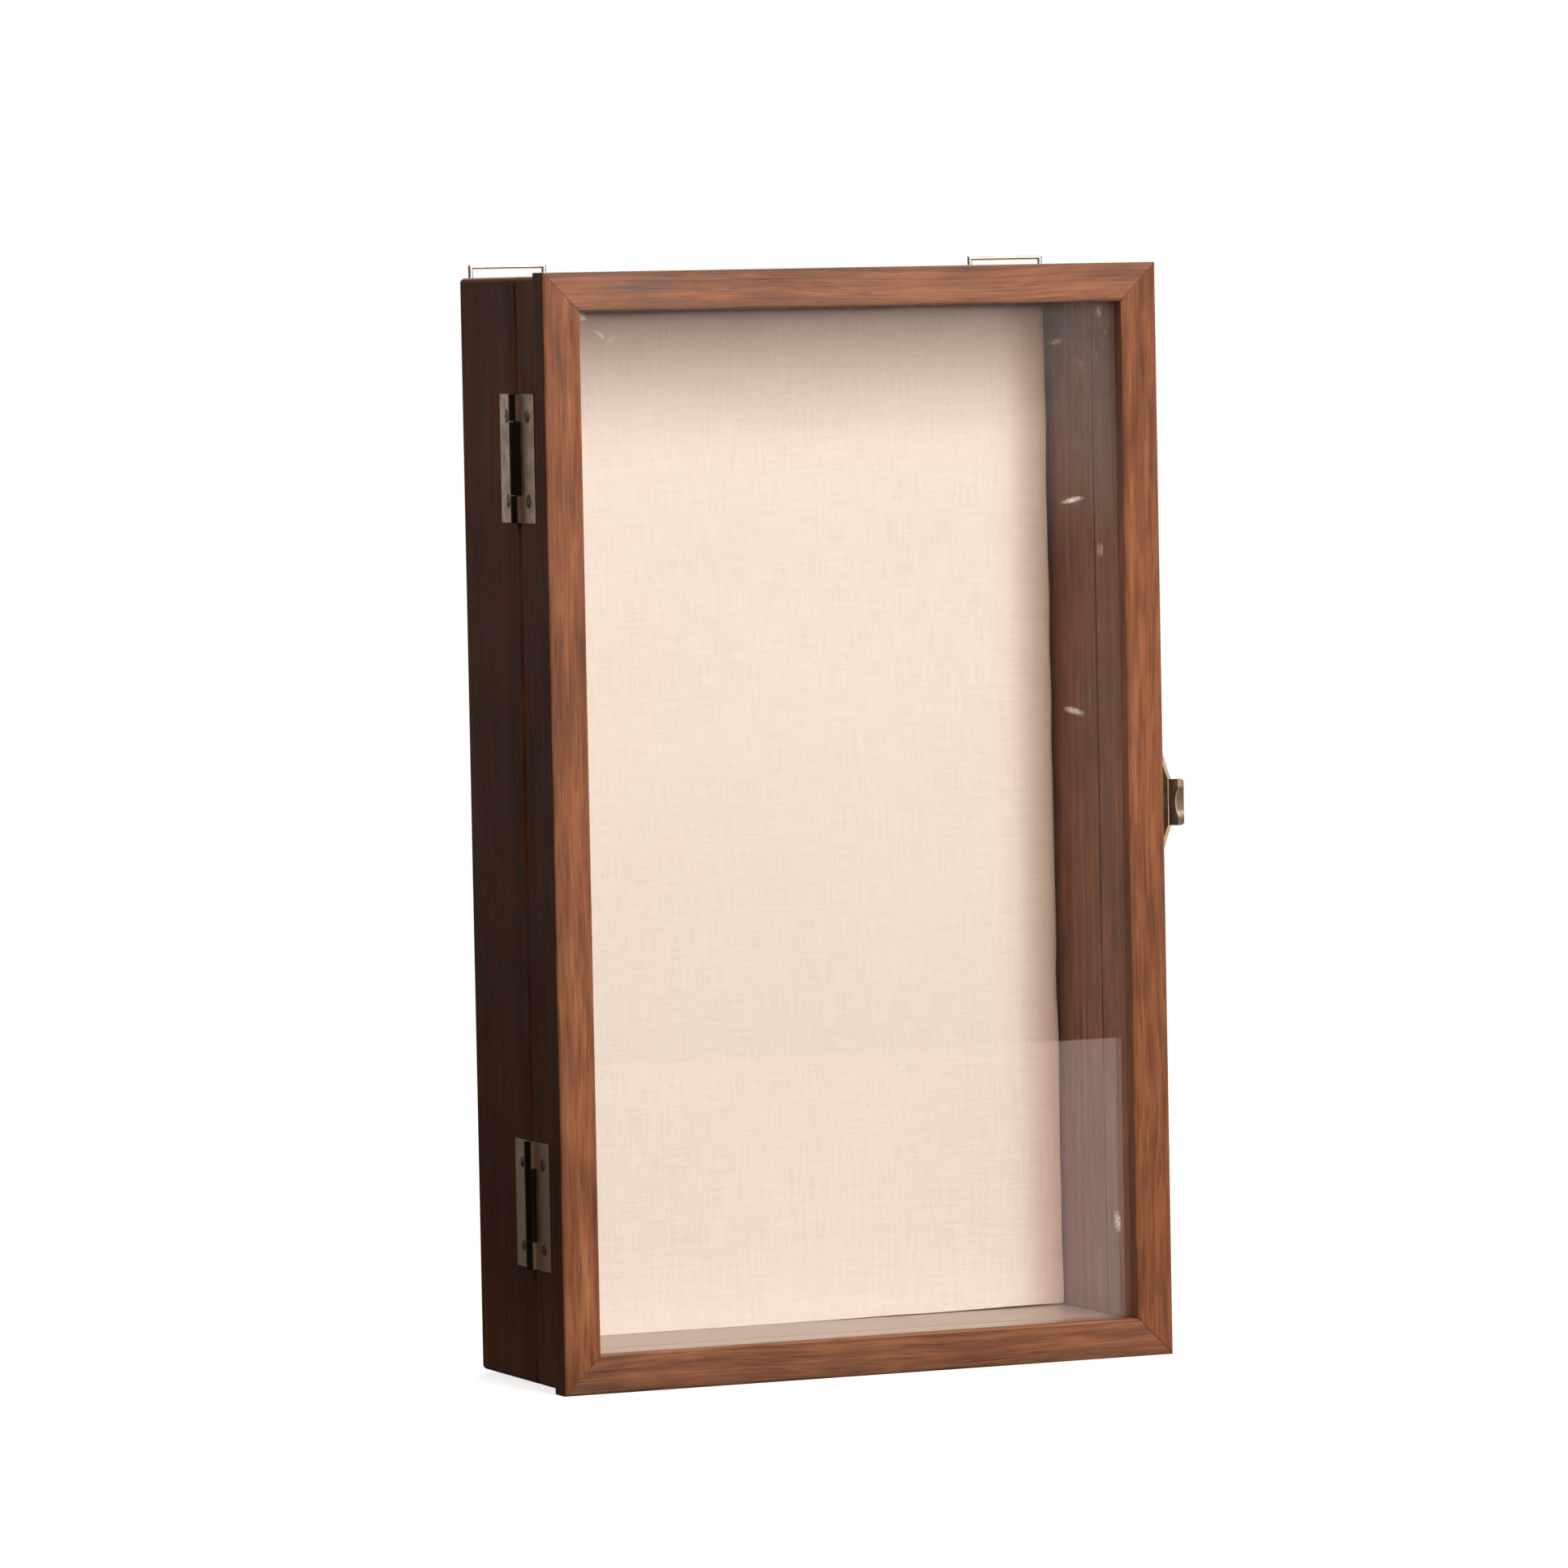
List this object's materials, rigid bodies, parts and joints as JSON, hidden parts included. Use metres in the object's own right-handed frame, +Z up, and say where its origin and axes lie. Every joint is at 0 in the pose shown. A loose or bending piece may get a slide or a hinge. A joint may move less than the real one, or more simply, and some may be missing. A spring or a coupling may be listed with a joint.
{
  "type": "glazed pin display case",
  "caption": "Shallow upright hardwood wall case with a glazed hinged door, fabric pin board, hasp latch and hanging rings.",
  "frame": {"origin": "middle of the width and depth, on the underside of the case's bottom board", "axes": "+Z up along the tall side, -Y out of the glazed front, +X towards the latch side"},
  "size_m": [0.2074, 0.0732, 0.333],
  "materials": {
    "face_wood": "satin varnished hardwood, red brown",
    "case_wood": "satin varnished hardwood, darker red brown",
    "plywood": "bare plywood",
    "glass": "clear float glass",
    "cream_fabric": "plain woven cotton, cream",
    "cork": "cork granules",
    "antique_brass": "aged antique brass, satin",
    "screw_brass": "aged antique brass, worn",
    "bright_steel": "plain wire and sheet, zinc plated"
  },
  "bodies": {
    "case": {"case_bottom": "case_wood", "case_top": "case_wood", "case_side_left": "case_wood", "case_side_right": "case_wood", "back_panel": "plywood", "back_panel_pins": "bright_steel", "pin_board_cover": "cream_fabric", "pin_board_core": "cork", "hinge_upper_case_leaf": "antique_brass", "hinge_upper_pin": "antique_brass", "hinge_lower_case_leaf": "antique_brass", "hinge_lower_pin": "antique_brass", "hinge_case_screws": "screw_brass", "latch_base_plate": "antique_brass", "latch_pin": "antique_brass", "latch_base_screws": "screw_brass", "hanger_strap_left": "bright_steel", "hanger_strap_right": "bright_steel", "hanger_screws": "bright_steel"},
    "door": {"face_rail_bottom": "face_wood", "face_rail_top": "face_wood", "face_stile_left": "face_wood", "face_stile_right": "face_wood", "door_rail_bottom": "case_wood", "door_rail_top": "case_wood", "door_stile_left": "case_wood", "door_stile_right": "case_wood", "hinge_upper_door_leaf": "antique_brass", "hinge_lower_door_leaf": "antique_brass", "glass_pane": "glass", "hinge_door_screws": "screw_brass", "latch_catch": "antique_brass", "latch_catch_screws": "screw_brass"},
    "latch_arm": {"latch_arm": "antique_brass"},
    "ring_left": {"hanger_ring_left": "bright_steel"},
    "ring_right": {"hanger_ring_right": "bright_steel"}
  },
  "joints": [
    {"name": "door_hinge", "type": "hinge", "parent": "case", "child": "door", "pos_m": [-0.0984, -0.01, 0.164], "axis": [0, 0, -1], "range_deg": [0, 175]},
    {"name": "latch_swing", "type": "hinge", "parent": "case", "child": "latch_arm", "pos_m": [0.1011, -0.0065, 0.166], "axis": [0, 0, 1], "range_deg": [0, 160]},
    {"name": "ring_left_swing", "type": "hinge", "parent": "case", "child": "ring_left", "pos_m": [-0.082, 0.03658, 0.3204], "axis": [-1, 0, 0], "range_deg": [0, 170]},
    {"name": "ring_right_swing", "type": "hinge", "parent": "case", "child": "ring_right", "pos_m": [0.082, 0.03658, 0.3204], "axis": [-1, 0, 0], "range_deg": [0, 170]}
  ]
}
